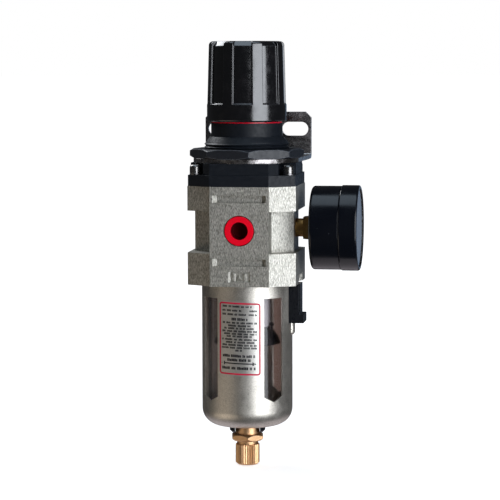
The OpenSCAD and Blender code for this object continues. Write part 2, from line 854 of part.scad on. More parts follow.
module drain_knob() {
    step = 360 / knurls;
    edge = drain_knob_r + 0.1;
    color("#c2a75c") in_frame() difference() {
        union() {
            intersection() {
                slab(drain_knob_bottom, drain_knob_top) polygon([for (i = [0 : knurls - 1], side = [0, 1])
                    let (r = drain_knob_r - (side == 0 ? 0 : 0.35), a = step * (i + side / 2)) [r * cos(a), r * sin(a)]]);
                rotate_extrude() polygon([
                    [0, drain_knob_bottom], [edge - 1.1, drain_knob_bottom], [edge, drain_knob_bottom + 1.1],
                    [edge, drain_knob_top - 0.5], [edge - 0.5, drain_knob_top], [0, drain_knob_top]
                ]);
            }
            rod(drain_bore - run, drain_knob_top - 0.1, drain_top - 10);
        }
        rod(1.6, drain_knob_bottom - 1, drain_top - 9);
    }
}

body();
bonnet();
bonnet_screws();
bonnet_lock_washers();
panel_nut();
mounting_bracket();
knob_lock_ring();
adjusting_knob();
adjusting_screw();
thrust_washer();
spring_nut();
regulating_spring();
diaphragm();
diaphragm_plate();
valve_stem();
valve_poppet();
valve_holder();
valve_spring();
element_gasket();
swirl_louver();
filter_element();
element_rod();
baffle();
inlet_plug();
rear_plug();
rear_plug_seal();
gauge_socket();
gauge_case();
gauge_bezel();
gauge_lens();
gauge_dial();
gauge_bourdon_tube();
gauge_movement();
gauge_sector();
gauge_arbor();
gauge_pointer();
bowl_seal();
bowl();
bowl_guard();
bowl_label();
lock_button();
lock_spring();
drain_collar();
drain_nut();
drain_body();
drain_seal();
drain_pin();
drain_knob();
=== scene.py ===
"""Filter regulator: the looks of each part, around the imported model.

The frame is in metres. Sizes written here are in millimetres, and MM turns them into metres.
"""
import json
import math
import random

import bmesh
import bpy
from mathutils import Matrix, Vector

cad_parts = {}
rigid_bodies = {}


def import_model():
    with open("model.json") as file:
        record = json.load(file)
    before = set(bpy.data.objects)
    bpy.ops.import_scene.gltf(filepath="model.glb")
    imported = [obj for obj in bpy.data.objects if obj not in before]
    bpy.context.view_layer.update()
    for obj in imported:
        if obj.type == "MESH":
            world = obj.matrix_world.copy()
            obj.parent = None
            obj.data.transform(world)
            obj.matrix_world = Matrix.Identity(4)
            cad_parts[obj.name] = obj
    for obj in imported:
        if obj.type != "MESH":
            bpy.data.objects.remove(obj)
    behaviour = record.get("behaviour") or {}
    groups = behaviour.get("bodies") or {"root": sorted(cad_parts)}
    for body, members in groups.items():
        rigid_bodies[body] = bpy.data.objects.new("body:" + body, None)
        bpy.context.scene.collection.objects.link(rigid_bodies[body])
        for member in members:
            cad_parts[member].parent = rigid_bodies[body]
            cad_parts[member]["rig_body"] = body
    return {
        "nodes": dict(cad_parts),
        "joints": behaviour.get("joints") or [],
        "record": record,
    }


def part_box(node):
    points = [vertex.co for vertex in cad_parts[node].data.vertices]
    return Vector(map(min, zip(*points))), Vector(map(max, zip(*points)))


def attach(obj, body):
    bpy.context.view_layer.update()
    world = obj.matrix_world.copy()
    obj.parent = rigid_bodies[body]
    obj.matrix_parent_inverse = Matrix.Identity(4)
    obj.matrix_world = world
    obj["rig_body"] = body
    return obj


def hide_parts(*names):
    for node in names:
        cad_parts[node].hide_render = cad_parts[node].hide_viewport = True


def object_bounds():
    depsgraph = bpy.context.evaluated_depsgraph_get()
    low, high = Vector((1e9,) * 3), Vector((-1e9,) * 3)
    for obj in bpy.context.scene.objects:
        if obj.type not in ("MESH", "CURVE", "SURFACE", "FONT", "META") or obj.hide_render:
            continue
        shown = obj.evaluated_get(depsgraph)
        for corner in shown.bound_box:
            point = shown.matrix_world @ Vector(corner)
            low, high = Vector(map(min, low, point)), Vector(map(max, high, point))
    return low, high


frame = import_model()
cad_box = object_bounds()

MM = 0.001
mounts = {m["name"]: m for m in frame["record"]["mounts"]}
joints = {j["name"]: j for j in frame["joints"]}

# The vertical axis through knob and bowl, at the height of the port axis
AXIS = Vector((*joints["knob_turn"]["pos_m"][:2], mounts["outlet_port"]["pos_m"][2]))


def at(x, y, z):
    """A point in millimetres from the vertical axis and the port axis, in the row's frame."""
    return AXIS + Vector((x, y, z)) * MM


def span(node):
    """Lowest and highest corner of a CAD node, in millimetres from AXIS."""
    low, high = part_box(node)
    return (low - AXIS) / MM, (high - AXIS) / MM


# ---------------------------------------------------------------- mesh helpers

# Points of a CAD mesh that are closer than this, in metres, become one point
WELD = 2e-6
# CAD faces within this many degrees of each other become one face
FLAT = 0.8
# Faces that meet at less than this many degrees are shaded as one smooth surface
SMOOTH = 38
# Faces across each rounded edge
BEVEL_STEPS = 3
# Radius where a solid of revolution closes at its middle, so that no face folds to a point
CORE = 0.01


def add_object(name, mesh):
    obj = bpy.data.objects.new(name, mesh)
    bpy.context.scene.collection.objects.link(obj)
    return obj


def apply_modifiers(obj):
    depsgraph = bpy.context.evaluated_depsgraph_get()
    mesh = bpy.data.meshes.new_from_object(obj.evaluated_get(depsgraph))
    obj.modifiers.clear()
    obj.data = mesh


def from_bmesh(name, bm):
    mesh = bpy.data.meshes.new(name)
    bm.to_mesh(mesh)
    bm.free()
    return add_object(name, mesh)


def round_edges(obj, width, angle=30):
    """Rounds the edges that are sharper than angle, and shades the rest smooth.

    The faces that the rounding adds have 1 in the attribute "edge", and the others have 0.
    """
    if width:
        # The bevel marks its faces with the second of two empty material slots
        for _ in range(2):
            obj.data.materials.append(None)
        bevel = obj.modifiers.new("round", "BEVEL")
        bevel.material = 1
        bevel.width = width * MM
        bevel.segments = BEVEL_STEPS
        bevel.limit_method = "ANGLE"
        bevel.angle_limit = math.radians(angle)
        bevel.use_clamp_overlap = True
        apply_modifiers(obj)
    edge = obj.data.attributes.new("edge", "FLOAT", "FACE")
    for polygon in obj.data.polygons:
        edge.data[polygon.index].value = polygon.material_index
        polygon.material_index = 0
    for polygon in obj.data.polygons:
        polygon.use_smooth = True
    obj.data.set_sharp_from_angle(angle=math.radians(SMOOTH))
    weighted = obj.modifiers.new("normals", "WEIGHTED_NORMAL")
    weighted.keep_sharp = True
    weighted.weight = 60
    apply_modifiers(obj)


def finish_piece(obj, material, node, replaces=True):
    """Gives a piece its material and the body of the CAD node that it replaces or adds to, and hides a node
    that it replaces.
    """
    obj.data.materials.clear()
    obj.data.materials.append(material)
    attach(obj, frame["nodes"][node]["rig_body"])
    if replaces:
        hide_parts(node)
    return obj


def skin(node, material, bevel):
    """The CAD node's own shape with its flat faces joined up and its edges rounded."""
    bm = bmesh.new()
    bm.from_mesh(frame["nodes"][node].data)
    bmesh.ops.remove_doubles(bm, verts=bm.verts, dist=WELD)
    bmesh.ops.dissolve_limit(
        bm, angle_limit=math.radians(FLAT), verts=bm.verts, edges=bm.edges, use_dissolve_boundaries=False
    )
    bmesh.ops.recalc_face_normals(bm, faces=bm.faces)
    obj = from_bmesh(node + "_skin", bm)
    round_edges(obj, bevel)
    return finish_piece(obj, material, node)


def arc(cx, cz, r, start, end, steps):
    """Points on an arc, angles in degrees from the first axis towards the second."""
    angles = [math.radians(start + (end - start) * i / steps) for i in range(steps + 1)]
    return [(cx + r * math.cos(a), cz + r * math.sin(a)) for a in angles]


def bridge(bm, first, second):
    """Joins two rings of the same number of points with a band of faces."""
    count = len(first)
    for k in range(count):
        n = (k + 1) % count
        bm.faces.new((first[k], second[k], second[n], first[n]))


def block(bm, rings):
    """A solid between two rings: two end faces and a band."""
    bm.faces.new(rings[0])
    bm.faces.new(rings[1][::-1])
    bridge(bm, *rings)


def revolve(name, profile, steps=192):
    """A closed profile of (radius, height) points in millimetres, turned about the vertical axis."""
    bm = bmesh.new()
    rings = []
    for i in range(steps):
        turn = 2 * math.pi * i / steps
        rings.append([bm.verts.new(at(r * math.cos(turn), r * math.sin(turn), z)) for r, z in profile])
    for i, ring in enumerate(rings):
        bridge(bm, ring, rings[(i + 1) % steps])
    bmesh.ops.recalc_face_normals(bm, faces=bm.faces)
    return from_bmesh(name, bm)


def rod(name, r, low, high, steps):
    """A round bar of radius r between two heights."""
    return revolve(name, [(CORE, low), (r, low), (r, high), (CORE, high)], steps)


def prism(name, outline, inner, outer, turn):
    """An outline of (sideways, height) points, extruded outwards from the axis at an angle in degrees."""
    bm = bmesh.new()
    a = math.radians(turn)
    out, side = Vector((math.cos(a), math.sin(a), 0)), Vector((-math.sin(a), math.cos(a), 0))
    rings = []
    for depth in (inner, outer):
        points = [out * depth + side * s + Vector((0, 0, z)) for s, z in outline]
        rings.append([bm.verts.new(AXIS + point * MM) for point in points])
    block(bm, rings)
    bmesh.ops.recalc_face_normals(bm, faces=bm.faces)
    return from_bmesh(name, bm)


def combine(obj, others, operation):
    """Cuts other meshes out of obj, or joins them to it, and removes them."""
    for other in others:
        step = obj.modifiers.new(operation, "BOOLEAN")
        step.operation = operation
        step.object = other
        step.solver = "EXACT"
        apply_modifiers(obj)
        bpy.data.objects.remove(other)


# ---------------------------------------------------------------- materials

class Surface:
    """A Principled material with helpers for procedural detail.

    Its colour, roughness and metallic are plain values, until a texture is linked in their place.
    """

    def __init__(self, name, color, roughness, metallic=0.0, **inputs):
        self.material = bpy.data.materials.new(name)
        self.material.use_nodes = True
        self.nodes = self.material.node_tree.nodes
        self.links = self.material.node_tree.links
        self.shader = self.nodes["Principled BSDF"]
        self.coords = self.nodes.new("ShaderNodeTexCoord").outputs["Object"]
        self.shader.inputs["Base Color"].default_value = (*color, 1)
        self.shader.inputs["Roughness"].default_value = roughness
        self.shader.inputs["Metallic"].default_value = metallic
        for key, value in inputs.items():
            self.shader.inputs[key.replace("_", " ")].default_value = value
        self.height = None

    def noise(self, scale, detail=2.0, rough=0.5, stretch=(1, 1, 1)):
        """Noise with features about 1/scale metres across, stretched along an axis by a factor below 1."""
        mapping = self.nodes.new("ShaderNodeMapping")
        mapping.inputs["Scale"].default_value = stretch
        self.links.new(self.coords, mapping.inputs["Vector"])
        noise = self.nodes.new("ShaderNodeTexNoise")
        noise.inputs["Scale"].default_value = scale
        noise.inputs["Detail"].default_value = detail
        noise.inputs["Roughness"].default_value = rough
        self.links.new(mapping.outputs["Vector"], noise.inputs["Vector"])
        return noise.outputs["Fac"]

    def spread(self, value, low, high, start=0.35, end=0.65):
        """Maps start..end of a texture to low..high."""
        remap = self.nodes.new("ShaderNodeMapRange")
        remap.inputs["From Min"].default_value = start
        remap.inputs["From Max"].default_value = end
        remap.inputs["To Min"].default_value = low
        remap.inputs["To Max"].default_value = high
        self.links.new(value, remap.inputs["Value"])
        return remap.outputs["Result"]

    def blend(self, value, first, second):
        """Two colours mixed by a texture, where the first may be a texture itself."""
        mix = self.nodes.new("ShaderNodeMix")
        mix.data_type = "RGBA"
        factor, below, above = mix.inputs[0], mix.inputs[6], mix.inputs[7]
        self.links.new(value, factor)
        if isinstance(first, tuple):
            below.default_value = (*first, 1)
        else:
            self.links.new(first, below)
        above.default_value = (*second, 1)
        return mix.outputs[2]

    def tint(self, value, first, second):
        """The surface's colour, mixed by a texture."""
        self.links.new(self.blend(value, first, second), self.shader.inputs["Base Color"])

    def gloss(self, value, low, high, start=0.35, end=0.65):
        """The surface's roughness, from low to high by a texture."""
        self.links.new(self.spread(value, low, high, start, end), self.shader.inputs["Roughness"])

    def bump(self, value, depth, strength=1.0):
        """Adds a bump of a depth in millimetres on top of the ones before."""
        bump = self.nodes.new("ShaderNodeBump")
        bump.inputs["Strength"].default_value = strength
        bump.inputs["Distance"].default_value = depth * MM
        self.links.new(value, bump.inputs["Height"])
        if self.height:
            self.links.new(self.height, bump.inputs["Normal"])
        self.height = bump.outputs["Normal"]
        self.links.new(self.height, self.shader.inputs["Normal"])

    def wear(self, least, most):
        """A mask that is bright on rounded edges, from least to most by noise, and 0 elsewhere."""
        edge = self.nodes.new("ShaderNodeAttribute")
        edge.attribute_name = "edge"
        broken = self.nodes.new("ShaderNodeMath")
        broken.operation = "MULTIPLY"
        self.links.new(edge.outputs["Fac"], broken.inputs[0])
        self.links.new(self.spread(self.noise(700, 4, 0.7), least, most, 0.4, 0.6), broken.inputs[1])
        return broken.outputs["Value"]


def cast_paint():
    """Grey-beige metallic paint on a blasted casting, with a grain that runs up and down."""
    s = Surface("cast_paint", (0.6, 0.575, 0.52), 0.52, 0.9)
    streaks = s.noise(2700, 3, 0.6, (1, 1, 0.28))
    grain = s.noise(2100, 4, 0.7)
    worn = s.wear(0.5, 1.0)
    base = s.blend(s.spread(streaks, 0, 1, 0.36, 0.64), (0.27, 0.262, 0.226), (0.7, 0.68, 0.62))
    s.tint(worn, base, (0.95, 0.94, 0.9))
    s.gloss(s.noise(900, 2), 0.42, 0.52)
    s.links.new(s.spread(worn, 0.9, 0.2, 0, 1), s.shader.inputs["Metallic"])
    s.bump(streaks, 0.13)
    s.bump(grain, 0.08)
    return s.material


def guard_paint():
    """Warm silver flake paint on drawn steel, paler on its edges and slightly wavy."""
    s = Surface("guard_paint", (0.66, 0.62, 0.55), 0.4, 0.92)
    flakes = s.noise(2100, 4, 0.8)
    worn = s.wear(0.8, 1.0)
    base = s.blend(s.spread(flakes, 0, 1, 0.3, 0.7), (0.4, 0.37, 0.32), (0.9, 0.86, 0.78))
    s.tint(worn, base, (1, 1, 0.98))
    s.links.new(s.spread(worn, 0.92, 0.1, 0, 1), s.shader.inputs["Metallic"])
    s.gloss(s.noise(300, 3), 0.34, 0.44)
    s.bump(flakes, 0.06)
    s.bump(s.noise(60, 2), 0.05, 0.1)
    return s.material


def bonnet_plastic():
    """Nearly black blue plastic, with a fine matt grain and greyer edges."""
    s = Surface("bonnet_plastic", (0.006, 0.008, 0.012), 0.5, IOR=1.36)
    base = s.blend(s.noise(500, 3), (0.004, 0.006, 0.010), (0.007, 0.010, 0.015))
    s.tint(s.wear(0.1, 0.8), base, (0.05, 0.06, 0.075))
    s.gloss(s.noise(700, 3), 0.4, 0.58)
    s.bump(s.noise(3200, 2), 0.03, 0.6)
    return s.material


def textured_plastic():
    """Black plastic of the panel nut, coarser in its grain than the bonnet."""
    s = Surface("textured_plastic", (0.02, 0.024, 0.033), 0.42)
    base = s.blend(s.noise(1500, 3), (0.008, 0.010, 0.015), (0.016, 0.019, 0.026))
    s.tint(s.wear(0.1, 0.8), base, (0.1, 0.11, 0.13))
    s.gloss(s.noise(600, 3), 0.34, 0.5)
    s.bump(s.noise(2200, 2), 0.06, 0.9)
    return s.material


def knob_plastic():
    """Glossy black plastic with pale scuffs that run up and down."""
    s = Surface("knob_plastic", (0.003, 0.003, 0.004), 0.17, IOR=1.95)
    s.gloss(s.noise(260, 5, 0.65), 0.12, 0.26)
    scuffs = s.spread(s.noise(520, 6, 0.8, (1, 1, 0.3)), 0, 1, 0.67, 0.72)
    base = s.blend(scuffs, (0.003, 0.003, 0.004), (0.06, 0.06, 0.066))
    s.tint(s.wear(0.0, 0.5), base, (0.05, 0.05, 0.055))
    s.bump(s.noise(900, 2), 0.006, 0.3)
    s.bump(s.noise(700, 5, 0.8, (1, 0.2, 1)), 0.008, 0.35)
    return s.material


def bracket_steel():
    """Bare rolled steel, mottled dark and light."""
    s = Surface("bracket_steel", (0.4, 0.385, 0.385), 0.26, 1.0)
    mottle = s.noise(520, 5, 0.7)
    s.tint(s.spread(mottle, 0, 1, 0.35, 0.7), (0.22, 0.2, 0.2), (0.56, 0.54, 0.53))
    s.gloss(s.noise(240, 4), 0.14, 0.38)
    s.bump(mottle, 0.09, 0.7)
    s.bump(s.noise(2400, 2), 0.02, 0.5)
    return s.material


def steel(name, color, rough):
    """Plain metal with slow patches in its colour and a fine grain."""
    s = Surface(name, color, rough, 1.0)
    grain = s.noise(2400, 3, 0.6)
    s.tint(s.noise(140, 4), tuple(c * 0.86 for c in color), color)
    s.gloss(grain, rough - 0.07, rough + 0.1)
    s.bump(grain, 0.012, 0.5)
    return s.material


def brass(name, color, rough):
    """Turned brass, brighter on its edges."""
    s = Surface(name, color, rough, 1.0)
    base = s.blend(s.noise(260, 4), tuple(c * 0.82 for c in color), color)
    s.tint(s.wear(0.1, 0.8), base, (0.98, 0.78, 0.54))
    s.gloss(s.noise(1200, 3), rough - 0.06, rough + 0.1)
    s.bump(s.noise(2600, 2, 0.5, (1, 1, 0.3)), 0.012, 0.5)
    return s.material


def plastic(name, color, rough, grain=0.01):
    """Moulded plastic or rubber, with a grain depth in millimetres."""
    s = Surface(name, color, rough)
    s.tint(s.noise(400, 3), tuple(c * 0.88 for c in color), color)
    s.gloss(s.noise(800, 3), rough - 0.07, rough + 0.08)
    s.bump(s.noise(2400, 2), grain, 0.5)
    return s.material


def red_plastic():
    """Soft red plastic, with painted shade that darkens it down in its hollow."""
    s = Surface("red_plastic", (1.0, 0.001, 0.02), 0.45, IOR=1.25)
    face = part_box("inlet_plug")[0].y
    parts = s.nodes.new("ShaderNodeSeparateXYZ")
    s.links.new(s.coords, parts.inputs[0])
    # A mask from the plug's front face to 3 mm in, which places the painted shade
    depth = s.spread(parts.outputs["Y"], 0.0, 1.0, face + 0.6 * MM, face + 3 * MM)
    base = s.blend(s.noise(500, 3), (0.93, 0.001, 0.016), (1.0, 0.002, 0.024))
    # Painted shade: the red turns nearly black deeper in the hollow, standing in for the shade that falls
    # there
    s.tint(depth, base, (0.13, 0.0, 0.004))
    s.gloss(s.noise(800, 3), 0.38, 0.52)
    s.bump(s.noise(2000, 2), 0.02, 0.5)
    return s.material


def enamel():
    """Stove enamel: nearly black blue, glossy, with slow waves and a few dust specks."""
    s = Surface("black_enamel", (0.002, 0.003, 0.006), 0.2)
    specks = s.spread(s.noise(1600, 2, 0.4), 0, 1, 0.78, 0.8)
    s.tint(specks, (0.002, 0.003, 0.006), (0.12, 0.13, 0.14))
    s.gloss(s.noise(90, 3), 0.16, 0.24)
    s.bump(s.noise(50, 2), 0.06, 0.15)
    return s.material


def clear_plastic():
    """The bowl's clear plastic, slightly smoky and uneven."""
    s = Surface("clear_plastic", (0.9, 0.875, 0.85), 0.06, Transmission_Weight=1.0, IOR=1.5)
    s.tint(s.noise(60, 3), (0.74, 0.7, 0.69), (0.84, 0.82, 0.83))
    s.gloss(s.noise(160, 4), 0.03, 0.12)
    s.bump(s.noise(90, 2), 0.05, 0.12)
    return s.material


def lens_glass():
    """The gauge's clear lens, a little cool in its colour."""
    s = Surface("lens_glass", (0.9, 0.94, 0.96), 0.03, Transmission_Weight=1.0, IOR=1.49)
    s.gloss(s.noise(200, 4), 0.02, 0.07)
    s.bump(s.noise(50, 2), 0.01, 0.1)
    return s.material


def label_film():
    """Silver film with fine flakes."""
    s = Surface("label_film", (0.62, 0.6, 0.56), 0.4, 0.85)
    flakes = s.noise(2600, 3, 0.7)
    s.tint(s.spread(flakes, 0, 1, 0.3, 0.7), (0.52, 0.5, 0.46), (0.76, 0.74, 0.7))
    s.gloss(s.noise(140, 4), 0.34, 0.46)
    s.bump(s.noise(200, 4), 0.04, 0.3)
    return s.material


def ink(name, color):
    """Printed ink, uneven in its colour."""
    s = Surface(name, color, 0.5)
    s.tint(s.noise(1800, 3), tuple(c * 0.75 for c in color), tuple(min(1, c * 1.15) for c in color))
    s.gloss(s.noise(900, 2), 0.42, 0.6)
    s.bump(s.noise(2600, 2), 0.01, 0.4)
    return s.material


def sintered():
    """Grains of white plastic sintered into a porous tube."""
    s = Surface("sintered", (0.88, 0.86, 0.9), 0.8)
    grains = s.noise(2800, 3, 0.7)
    s.tint(grains, (0.74, 0.71, 0.76), (0.95, 0.92, 0.97))
    s.gloss(s.noise(1500, 2), 0.7, 0.9)
    s.bump(grains, 0.12, 0.9)
    return s.material


PAINT = cast_paint()
GUARD_PAINT = guard_paint()
BONNET = bonnet_plastic()
TEXTURED = textured_plastic()
KNOB = knob_plastic()
BRACKET = bracket_steel()
SCREW = steel("screw_steel", (0.3, 0.29, 0.28), 0.24)
WASHER = steel("washer_steel", (0.26, 0.25, 0.25), 0.35)
SPRING = steel("spring_steel", (0.5, 0.5, 0.52), 0.3)
ALLOY = steel("plain_alloy", (0.62, 0.62, 0.63), 0.34)
BRASS = brass("drain_brass", (0.9, 0.56, 0.3), 0.42)
GAUGE_BRASS = brass("gauge_brass", (0.5, 0.29, 0.1), 0.34)
RED = red_plastic()
RING = plastic("red_ring", (0.75, 0.006, 0.03), 0.3)
BLACK = plastic("black_plastic", (0.006, 0.007, 0.010), 0.34, 0.02)
ENAMEL = enamel()
RUBBER = plastic("seal_rubber", (0.015, 0.015, 0.015), 0.6)
NATURAL = plastic("natural_plastic", (0.78, 0.76, 0.7), 0.45)
DIAL = plastic("dial_enamel", (0.85, 0.85, 0.83), 0.4, 0.002)
FILM = label_film()
CRIMSON = ink("crimson_ink", (0.66, 0.008, 0.05))
BLACK_INK = ink("black_ink", (0.008, 0.008, 0.01))
CLEAR = clear_plastic()
LENS = lens_glass()
SINTERED = sintered()

# ---------------------------------------------------------------- CAD shapes with rounded edges

for node, material, width in (
    ("body", PAINT, 0.4), ("bonnet", BONNET, 0.3), ("panel_nut", TEXTURED, 0.35),
    ("mounting_bracket", BRACKET, 0.3), ("adjusting_knob", KNOB, 0.3), ("bonnet_screws", SCREW, 0.12),
    ("bonnet_lock_washers", WASHER, 0.1), ("knob_lock_ring", RING, 0.15), ("inlet_plug", RED, 0.3),
    ("rear_plug", GAUGE_BRASS, 0.25), ("gauge_socket", GAUGE_BRASS, 0.25), ("gauge_case", ENAMEL, 0.2),
    ("gauge_bezel", ENAMEL, 0.2), ("lock_button", BLACK, 0.35), ("drain_collar", BLACK, 0.3),
    ("drain_body", BRASS, 0.3), ("drain_knob", BRASS, 0.08), ("drain_nut", BRASS, 0.2),
    ("baffle", BLACK, 0.2), ("adjusting_screw", GAUGE_BRASS, 0.2), ("thrust_washer", NATURAL, 0.1),
    ("spring_nut", ALLOY, 0.2), ("diaphragm", RUBBER, 0.1), ("diaphragm_plate", ALLOY, 0.2),
    ("valve_stem", GAUGE_BRASS, 0.2), ("valve_poppet", RUBBER, 0.2), ("valve_holder", NATURAL, 0.25),
    ("element_gasket", RUBBER, 0.15), ("swirl_louver", BLACK, 0.2), ("filter_element", SINTERED, 0.4),
    ("element_rod", GAUGE_BRASS, 0.3), ("rear_plug_seal", RUBBER, 0.1), ("gauge_lens", LENS, 0.15),
    ("gauge_bourdon_tube", GAUGE_BRASS, 0.1), ("gauge_movement", GAUGE_BRASS, 0.08),
    ("gauge_sector", GAUGE_BRASS, 0.04), ("gauge_arbor", GAUGE_BRASS, 0.04), ("drain_pin", ALLOY, 0.2),
    ("gauge_pointer", BLACK_INK, 0.06), ("bowl_seal", RUBBER, 0), ("drain_seal", RUBBER, 0),
):
    piece = skin(node, material, width)
    # Light reaches the dial through the gauge's lens
    piece.visible_shadow = node != "gauge_lens"

# ---------------------------------------------------------------- springs

def coil(node, radius, wire, turns, center=(0, 0), steps=48, sides=14):
    """Wire of radius wire, wound at a radius in millimetres between the CAD spring's ends."""
    low, high = span(node)
    start, rise = low.z + wire, high.z - low.z - 2 * wire
    count = turns * steps
    bm = bmesh.new()
    rings = []
    for i in range(count + 1):
        turn = 2 * math.pi * i / steps
        out = Vector((math.cos(turn), math.sin(turn), 0))
        middle = Vector((*center, start + rise * i / count)) + out * radius
        around = [2 * math.pi * k / sides for k in range(sides)]
        points = [middle + (out * math.cos(a) + Vector((0, 0, math.sin(a)))) * wire for a in around]
        rings.append([bm.verts.new(AXIS + point * MM) for point in points])
    for first, second in zip(rings, rings[1:]):
        bridge(bm, first, second)
    bm.faces.new(rings[0])
    bm.faces.new(rings[-1][::-1])
    bmesh.ops.recalc_face_normals(bm, faces=bm.faces)
    obj = from_bmesh(node + "_wire", bm)
    round_edges(obj, 0)
    finish_piece(obj, SPRING, node)


# Distance from the axis to the lock's spring, in the pocket of the guard's bead
LOCK_X = 21.4

coil("regulating_spring", radius=11.5, wire=1.58, turns=6)
coil("valve_spring", radius=3.6, wire=0.49, turns=5)
coil("lock_spring", radius=1.1, wire=0.245, turns=7, center=(LOCK_X, 0))

# ---------------------------------------------------------------- bowl and guard

# Rounding of the rims of guard and bowl
LIP = 0.3


def guard_cup(r, top, bottom):
    """The drawn cup before its windows are cut, with a hole in its bottom for the drain."""
    sheet, corner, hole_r = 1.0, 8.5, 9.5
    bend = bottom + 8.95
    profile = [(r - LIP, top), (r, top - LIP)]
    profile += arc(r - corner, bend, corner, 0, -80, 24)
    profile += [(hole_r, bottom), (hole_r, bottom + sheet)]
    profile += arc(r - corner, bend, corner - sheet, -80, 0, 24)
    profile += [(r - sheet, top - LIP), (r - sheet + LIP, top)]
    return revolve("guard_sheet", profile, 240)


def guard_bead(r):
    """A pocket for the lock's spring: a post with a domed foot, cut off inside the guard."""
    top, foot, tip, bead_r = -46.95, -51.8, -53.6, 2.8
    profile = [(CORE, tip), (1.5, tip + 0.25), (2.4, tip + 0.9), (bead_r, foot), (bead_r, top), (CORE, top)]
    bead = revolve("bead", profile, 64)
    bead.location.x = 21.1 * MM
    inside = rod("inside", r - 0.5, -60, -40, 240)
    bpy.context.view_layer.update()
    combine(bead, [inside], "DIFFERENCE")
    return bead


def guard_cuts():
    """Four pointed windows, the lock button's slot and the room inside the bead."""
    inner, outer = 15, 30
    half, top, shoulder, tip, tip_half = 5.5, -33.5, -82, -84.5, 0.4
    outline = [(-half, top), (half, top), (half, shoulder)]
    outline += [(tip_half, tip), (-tip_half, tip), (-half, shoulder)]
    cuts = [prism("window", outline, inner, outer, turn) for turn in (44, 134, 224, 314)]
    slot_half, slot_top, slot_end = 2.6, -33.7, -46.85
    slot = [(-slot_half, slot_top), (slot_half, slot_top), (slot_half, slot_end), (-slot_half, slot_end)]
    cuts.append(prism("slot", slot, inner, outer, 0))
    room = rod("bead_room", 1.65, -51.8, -45.8, 48)
    room.location.x = LOCK_X * MM
    return cuts + [room]


def make_guard():
    """The painted steel guard: a drawn cup with four pointed windows, a slot and a bead."""
    low, high = span("bowl_guard")
    r = high.y
    guard = guard_cup(r, high.z, low.z)
    combine(guard, [guard_bead(r)], "UNION")
    cuts = guard_cuts()
    bpy.context.view_layer.update()
    combine(guard, cuts, "DIFFERENCE")
    round_edges(guard, 0.27, 42)
    finish_piece(guard, GUARD_PAINT, "bowl_guard")


def make_bowl():
    """The clear bowl: a thin wall with a rounded bottom, and a hole there for the drain."""
    low, high = span("bowl")
    r, wall, corner, hole_r = high.y, 1.5, 7.5, 6.15
    bottom, top = low.z, high.z
    profile = [(r - wall + LIP, top), (r - LIP, top), (r, top - LIP)]
    profile += arc(r - corner, bottom + corner, corner, 0, -90, 20)
    profile += [(hole_r, bottom), (hole_r, bottom + wall)]
    profile += arc(r - corner, bottom + corner, corner - wall, -90, 0, 20)
    profile += [(r - wall, top - LIP)]
    bowl = revolve("bowl_shell", profile, 200)
    round_edges(bowl, 0)
    finish_piece(bowl, CLEAR, "bowl")
    # Light reaches the parts inside through the clear wall
    bowl.visible_shadow = False


make_guard()
make_bowl()

# ---------------------------------------------------------------- label

# Radius that the label is measured on, the direction of its middle, and its lean
LABEL_R = 22.5
LABEL_TURN = math.radians(-91.55)
LABEL_TILT = math.tan(math.radians(1.8))
# Inner and outer radius of the film and of the ink on it
FILM_RADII = (22.47, 22.52)
INK_RADII = (22.51, 22.54)


def wrapped(bm, outline, radii):
    """A closed outline of (along, height) points in millimetres, wrapped round the guard at the label.

    Each point of the outline's first half faces one of its second half, taken from the end.
    """
    rings = []
    for r in radii:
        ring = []
        for along, z in outline:
            a = LABEL_TURN + along / LABEL_R
            ring.append(bm.verts.new(at(r * math.cos(a), r * math.sin(a), z - along * LABEL_TILT)))
        rings.append(ring)
    total = len(outline)
    for ring in rings:
        for k in range(total // 2 - 1):
            bm.faces.new((ring[k], ring[k + 1], ring[total - 2 - k], ring[total - 1 - k]))
    bridge(bm, *rings)


def strip(bm, left, right, low, high, radii=INK_RADII):
    """A wrapped rectangle, cut into short steps so that it follows the curve."""
    steps = max(1, round((right - left) / 0.8))
    along = [left + (right - left) * i / steps for i in range(steps + 1)]
    wrapped(bm, [(u, high) for u in along] + [(u, low) for u in reversed(along)], radii)


def printed(name, material, fill):
    """A layer of the label, which fill draws."""
    bm = bmesh.new()
    fill(bm)
    bmesh.ops.recalc_face_normals(bm, faces=bm.faces)
    return finish_piece(from_bmesh(name, bm), material, "bowl_label", replaces=False)


def draw_film(bm):
    strip(bm, -11.3, 11.3, -71.5, -34.3, FILM_RADII)


def draw_border(bm):
    """A rounded frame of four bars and four quarter rings."""
    left, right, low, high, round_r, width = -10.5, 10.5, -70.6, -35.2, 1.5, 0.8
    strip(bm, left + round_r, right - round_r, high - width, high)
    strip(bm, left + round_r, right - round_r, low, low + width)
    strip(bm, left, left + width, low + round_r, high - round_r)
    strip(bm, right - width, right, low + round_r, high - round_r)
    for cu, cz, start in (
        (right - round_r, high - round_r, 0), (left + round_r, high - round_r, 90),
        (left + round_r, low + round_r, 180), (right - round_r, low + round_r, 270),
    ):
        outer = arc(cu, cz, round_r, start, start + 90, 8)
        inner = arc(cu, cz, round_r - width, start + 90, start, 8)
        wrapped(bm, outer + inner, INK_RADII)


def draw_row(bm, rng, z, left, right, bold):
    """Groups of small upright marks from left to right, which stand for words."""
    half = 0.68 if bold else 0.48
    u = left
    while u < right:
        for _ in range(rng.randint(2, 7)):
            width = rng.uniform(0.36, 0.58) * (1.4 if bold else 1)
            top = half * rng.choice((1, 1, 0.7))
            strip(bm, u, min(u + width, right), z - half, z + top)
            u += width + 0.1
            if u >= right:
                break
        u += rng.uniform(0.5, 0.8)


def draw_arrow(bm):
    """A level double-headed arrow under the words."""
    z, tip, half = -65, 0.02, 1
    strip(bm, -8, 7, z - 0.3, z + 0.3)
    wrapped(bm, [(-9.5, z - tip), (-7.4, z + half), (-7.4, z - half), (-9.5, z + tip)], INK_RADII)
    wrapped(bm, [(6.4, z + half), (8.4, z + tip), (8.4, z - tip), (6.4, z - half)], INK_RADII)


